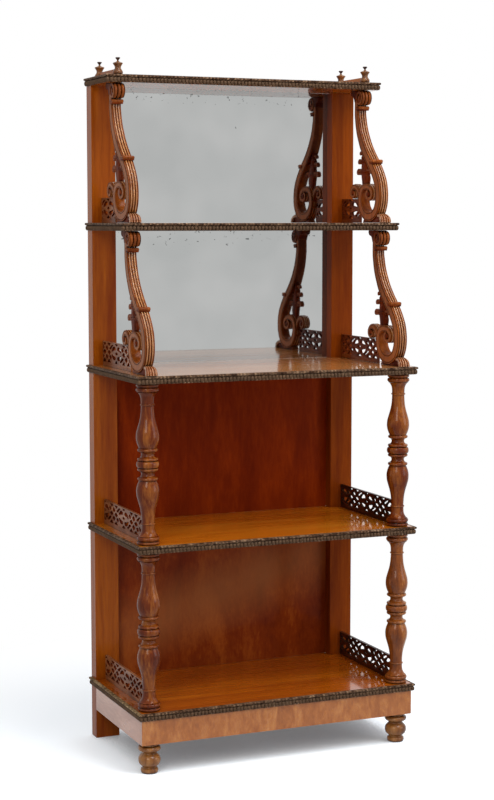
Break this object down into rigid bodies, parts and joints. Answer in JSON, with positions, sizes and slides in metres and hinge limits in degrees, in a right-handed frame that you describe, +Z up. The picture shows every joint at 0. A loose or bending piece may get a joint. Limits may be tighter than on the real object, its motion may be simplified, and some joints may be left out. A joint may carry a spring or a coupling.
{
  "type": "etagere",
  "caption": "Tall open etagere in polished wood with turned columns, carved scroll brackets, fretwork side galleries and mirror backs in the upper tiers",
  "frame": {"origin": "on the floor, under the middle of the bounding box", "axes": "+X to the right seen from the front, +Y to the back, +Z up; the open front faces -Y"},
  "size_m": [0.668, 0.352, 1.5455],
  "materials": {
    "polished_wood": "french polished, gloss",
    "turned_wood": "polished",
    "dark_carved_wood": "aged polish, satin",
    "panel_wood": "polished",
    "plinth_wood": "polished, figured",
    "inner_wood": "raw",
    "mirror_plate": "aged silvering"
  },
  "bodies": {
    "root": {"stile_left": "polished_wood", "stile_right": "polished_wood", "shelf_1": "polished_wood", "shelf_2": "polished_wood", "shelf_3": "polished_wood", "shelf_4": "polished_wood", "shelf_5": "polished_wood", "moulding_1_front": "dark_carved_wood", "moulding_1_left": "dark_carved_wood", "moulding_1_right": "dark_carved_wood", "moulding_2_front": "dark_carved_wood", "moulding_2_left": "dark_carved_wood", "moulding_2_right": "dark_carved_wood", "moulding_3_front": "dark_carved_wood", "moulding_3_left": "dark_carved_wood", "moulding_3_right": "dark_carved_wood", "moulding_4_front": "dark_carved_wood", "moulding_4_left": "dark_carved_wood", "moulding_4_right": "dark_carved_wood", "moulding_5_front": "dark_carved_wood", "moulding_5_left": "dark_carved_wood", "moulding_5_right": "dark_carved_wood", "column_3_left": "turned_wood", "column_3_right": "turned_wood", "column_4_left": "turned_wood", "column_4_right": "turned_wood", "apron_front": "plinth_wood", "apron_left": "plinth_wood", "corner_block_left": "inner_wood", "foot_left": "turned_wood", "top_rail_left": "polished_wood", "finial_front_left": "turned_wood", "finial_back_left": "turned_wood", "apron_right": "plinth_wood", "corner_block_right": "inner_wood", "foot_right": "turned_wood", "top_rail_right": "polished_wood", "finial_front_right": "turned_wood", "finial_back_right": "turned_wood", "back_rail": "inner_wood", "mirror_1": "mirror_plate", "mirror_back_1": "inner_wood", "bracket_1_left": "turned_wood", "bracket_1_right": "turned_wood", "mirror_2": "mirror_plate", "mirror_back_2": "inner_wood", "bracket_2_left": "turned_wood", "bracket_2_right": "turned_wood", "panel_3": "panel_wood", "panel_4": "panel_wood", "gallery_1_left": "dark_carved_wood", "gallery_1_right": "dark_carved_wood", "gallery_2_left": "dark_carved_wood", "gallery_2_right": "dark_carved_wood", "gallery_3_left": "dark_carved_wood", "gallery_3_right": "dark_carved_wood", "gallery_4_left": "dark_carved_wood", "gallery_4_right": "dark_carved_wood"}
  },
  "joints": []
}
